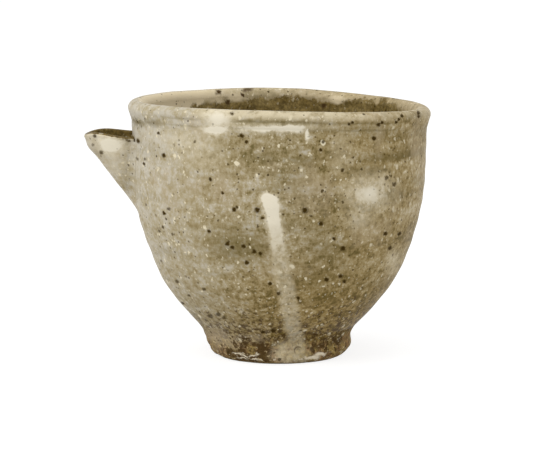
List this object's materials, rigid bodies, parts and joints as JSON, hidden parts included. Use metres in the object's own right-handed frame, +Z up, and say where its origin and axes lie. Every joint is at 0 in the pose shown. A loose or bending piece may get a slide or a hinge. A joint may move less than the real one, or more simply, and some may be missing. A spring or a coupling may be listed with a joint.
{
  "type": "katakuchi sake pourer",
  "caption": "Round-bellied stoneware serving bowl with a rolled rim, an open half-cone spout luted over a pour hole in the wall, and a low foot ring, for serving sake.",
  "frame": {"origin": "centre of the flat ring on which the foot rests", "axes": "+Z up out of the bowl's mouth, spout towards -X, the part is its own mirror image across the XZ plane"},
  "size_m": [0.117, 0.1004, 0.0867],
  "materials": {
    "ash_glaze": "satin grey-beige ash glaze with iron specks and white runs",
    "foot_clay": "dark brown stoneware, thinly glazed and rough"
  },
  "bodies": {
    "root": {"bowl": "ash_glaze", "spout": "ash_glaze", "spout_luting": "ash_glaze", "foot_ring": "foot_clay", "foot_luting": "foot_clay"}
  },
  "joints": []
}
